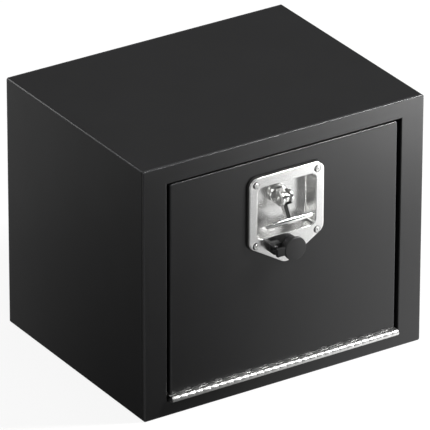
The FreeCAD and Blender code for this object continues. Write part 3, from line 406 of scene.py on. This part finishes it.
finishes = {
    "stainless": brushed_steel("stainless_sheet", (0.80, 0.80, 0.79), 0.18, 0.5 * MM, (0.04, 1, 1)),
    "polished_steel": polished_steel(),
    "zinc_plate": zinc_plate(),
    "seal_rubber": seal_rubber(),
    "cap_plastic": cap_plastic("cap_plastic_black", (0.013, 0.013, 0.0135),
                               (0.020, 0.020, 0.0205), 0.42),
}
plate_steel = brushed_steel("plate_stainless", (0.91, 0.91, 0.90), 0.15, 0.5 * MM, (0.04, 1, 1),
                            dimple_painted_shade)
hinge_steel = brushed_steel("hinge_stainless", (0.74, 0.74, 0.73), 0.30, 0.4 * MM, (0.05, 1, 1))
# The cap's base: the cap's plastic painted darker, as painted shade on its faces that look left and
# up.
shaded_cap_plastic = cap_plastic("cap_base_painted_shade_plastic", (0.004, 0.004, 0.004), (0.008, 0.008, 0.008), 0.55)

# The record's material slot of each CAD node, which is its packed material's name.
slots = {name: thing.data.materials[0].name.split(".")[0]
         for name, thing in frame["nodes"].items()}


def finish_of(name):
    """A node's finish. Each powder coated piece has its own, worn along its own edges."""
    if name == "latch_plate":
        return plate_steel
    if name == "cap_base":
        return shaded_cap_plastic
    if name.startswith("hinge_") and slots[name] == "stainless":
        return hinge_steel
    if slots[name] == "powder_coat":
        return powder_coat(name, node_low[name], node_high[name])
    return finishes[slots[name]]


def dress_nodes():
    """Every CAD node gets the finish of its material slot."""
    for name, thing in frame["nodes"].items():
        finish = finish_of(name)
        thing.data.materials.clear()
        thing.data.materials.append(finish)


def finished_piece(name, shape, node, smooth_to=50):
    """A new piece from a mesh in the making, for the CAD node that it stands for."""
    bmesh.ops.recalc_face_normals(shape, faces=shape.faces)
    mesh = bpy.data.meshes.new(name)
    shape.to_mesh(mesh)
    shape.free()
    mesh.shade_smooth()
    mesh.set_sharp_from_angle(angle=math.radians(smooth_to))
    mesh.materials.append(frame["nodes"][node].data.materials[0])
    piece = bpy.data.objects.new(name, mesh)
    bpy.context.scene.collection.objects.link(piece)
    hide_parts(node)
    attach(piece, frame["nodes"][node]["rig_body"])


def soften(node, width, segments):
    """A CAD piece whose sharp edges are broken, as casting, moulding or tumbling leaves them."""
    shape = bmesh.new()
    shape.from_mesh(frame["nodes"][node].data)
    bmesh.ops.remove_doubles(shape, verts=shape.verts, dist=WELD)
    bmesh.ops.recalc_face_normals(shape, faces=shape.faces)
    bmesh.ops.dissolve_limit(shape, angle_limit=FLAT_FOLD, verts=shape.verts, edges=shape.edges)
    hard = [edge for edge in shape.edges
            if edge.is_manifold and edge.calc_face_angle(0) > SHARP_FOLD]
    bmesh.ops.bevel(shape, geom=hard, affect="EDGES", offset=width, segments=segments,
                    profile=0.5, material=-1, clamp_overlap=True)
    finished_piece(node + "_softened", shape, node, 40)


def turned(outline, axis_spot, toward, steps=32):
    """A solid of revolution. The outline runs from the axis out and back to it, as (radius, how far
    along) in millimetres; it stands at the spot and points that way."""
    shape = bmesh.new()
    points = [shape.verts.new((radius * MM, 0, along * MM)) for radius, along in outline]
    edges = [shape.edges.new(pair) for pair in zip(points, points[1:])]
    bmesh.ops.spin(shape, geom=points + edges, cent=(0, 0, 0), axis=(0, 0, 1),
                   angle=2 * math.pi, steps=steps, use_merge=True)
    bmesh.ops.remove_doubles(shape, verts=shape.verts, dist=WELD / 10)
    turn = Vector((0, 0, 1)).rotation_difference(Vector(toward)).to_matrix().to_4x4()
    bmesh.ops.transform(shape, matrix=Matrix.Translation(axis_spot) @ turn, verts=shape.verts)
    return shape


def joined(parts):
    """One mesh in the making from several."""
    whole = bmesh.new()
    for part in parts:
        mesh = bpy.data.meshes.new("part")
        part.to_mesh(mesh)
        part.free()
        whole.from_mesh(mesh)
        bpy.data.meshes.remove(mesh)
    return whole


def make_plate_rivets():
    """Blind rivets in the plate's dimples: a domed head with the snapped mandrel sunk in it, and
    the upset end behind."""
    grip = (node_low["latch_screws"][1] - node_high["latch_screws"][1]) / MM
    mandrel = [(0, 0.1), (0.5, 0.05), (0.65, -0.2), (0.7, -0.7), (1.2, -0.7)]
    head = [(1.35, 1.05), (1.6, 1.18), (2.3, 1.02), (2.95, 0.6), (3.3, 0.15), (3.3, -0.1),
            (2.9, -0.25)]
    shank = [(1.9, -0.25), (1.9, grip + 3.0)]
    upset = [(2.6, grip + 2.4), (2.5, grip + 0.6), (1.6, grip), (0, grip)]
    rivets = [turned(mandrel + head + shank + upset, spot, (0, -1, 0)) for spot in rivet_spots()]
    finished_piece("plate_rivets", joined(rivets), "latch_screws")


def make_fold_rivet():
    """The fold pin's ends are spun over into a hollow rivet's rims."""
    low, high = Vector(node_low["fold_pin"]), Vector(node_high["fold_pin"])
    half = (high.x - low.x) / 2 / MM
    radius = (high.z - low.z) / 2 / MM
    hollow = [(0, half - 2.0), (0.55 * radius, half - 2.0), (0.62 * radius, half - 0.2)]
    rim = [(0.85 * radius, half + 0.45), (1.35 * radius, half + 0.35),
           (1.55 * radius, half + 0.02), (radius, half - 0.1)]
    end = hollow + rim
    outline = end + [(reach, -along) for reach, along in reversed(end)]
    finished_piece("fold_rivet", turned(outline, (low + high) / 2, (1, 0, 0), 40), "fold_pin")


def make_floor():
    """Pale floor, white to the camera, with the object's soft shadow on it."""
    mesh = bpy.data.meshes.new("floor")
    shape = bmesh.new()
    bmesh.ops.create_grid(shape, x_segments=1, y_segments=1, size=40)
    shape.to_mesh(mesh)
    shape.free()
    floor = bpy.data.objects.new("floor", mesh)
    floor.location.z = cabinet_low.z - 0.05 * MM
    bpy.context.scene.collection.objects.link(floor)
    finish = Finish("pale_floor")
    seen = finish.node("LightPath", output=0)
    mirrored = finish.node("LightPath", output=3)
    spot = finish.place()
    across = finish.vector("DOT_PRODUCT", spot, GLOW_LINE, output=1)
    front = GLOW_BEHIND + finish.ramp(finish.part(spot, 1), *GLOW_FRONT) * (1 - GLOW_BEHIND)
    patch = 1.0 - finish.ramp(finish.distance(PATCH_SPOT), *PATCH_FADE)
    far = finish.distance((0.0, 0.0, 0.0))
    glow = (finish.ramp(across, *GLOW_SPAN) * front * GLOW_LEVEL + patch * PATCH_LEVEL
            + finish.ramp(far, *FAR_SPAN) * FAR_LEVEL)
    white = WHITE_NEAR + finish.ramp(far, *WHITE_SPAN) * (1 - WHITE_NEAR)
    finish.set(Base_Color=FLOOR_GREY, Roughness=0.9, Specular_IOR_Level=0.0,
               Emission_Color=(1.0, 1.0, 1.0), Emission_Strength=seen * white + mirrored * glow)
    mesh.materials.append(finish.material)


def make_world():
    """White to the camera. What it lights by is brightest at the horizon and dim overhead."""
    world = bpy.data.worlds.new("studio")
    bpy.context.scene.world = world
    sky = Paint(world)
    back = sky.tree.nodes["Background"]
    height = sky.part(sky.node("TexCoord", output=0), 2)
    seen = sky.node("LightPath", output=0)
    band = sky.ramp(height, *BAND_START) - sky.ramp(height, *BAND_END)
    level = SKY_LEVEL - sky.ramp(height, *SKY_SPAN) * SKY_LOSS + band * BAND_LEVEL
    sky.feed(back.inputs["Color"], (1.0, 1.0, 1.0))
    sky.feed(back.inputs["Strength"], seen + (1.0 - seen) * level)


def make_lights():
    """The lamps, each turned to the cabinet's middle."""
    for name, (spot, width, height, power) in LAMPS.items():
        lamp = bpy.data.lights.new(name, "AREA")
        lamp.shape = "RECTANGLE"
        lamp.size = width
        lamp.size_y = height
        lamp.energy = power
        holder = bpy.data.objects.new(name, lamp)
        holder.location = spot
        toward = cabinet_middle - Vector(spot)
        holder.rotation_euler = toward.to_track_quat("-Z", "Y").to_euler()
        holder.visible_camera = False
        bpy.context.scene.collection.objects.link(holder)


def make_camera():
    """The photograph's camera: its frame is square, so the lens is on the sensor's full width."""
    lens = bpy.data.cameras.new("camera")
    lens.lens = CAMERA_LENS
    lens.sensor_width = CAMERA_SENSOR
    lens.clip_start, lens.clip_end = CAMERA_CLIP
    camera = bpy.data.objects.new("camera", lens)
    bpy.context.scene.collection.objects.link(camera)
    bpy.context.scene.camera = camera
    turn = (Matrix.Rotation(CAMERA_AZIMUTH, 4, "Z")
            @ Matrix.Rotation(math.pi / 2 - CAMERA_ELEVATION, 4, "X")
            @ Matrix.Rotation(CAMERA_ROLL, 4, "Z"))
    aim = turn @ Vector((AIM_RIGHT, -AIM_DOWN, CAMERA_DISTANCE))
    camera.matrix_world = Matrix.Translation(cabinet_middle + aim) @ turn


bpy.context.scene.view_settings.view_transform = "Standard"
dress_nodes()
for name, (width, segments) in SOFTENED.items():
    soften(name, width * MM, segments)
make_plate_rivets()
make_fold_rivet()
make_floor()
make_world()
make_lights()
make_camera()
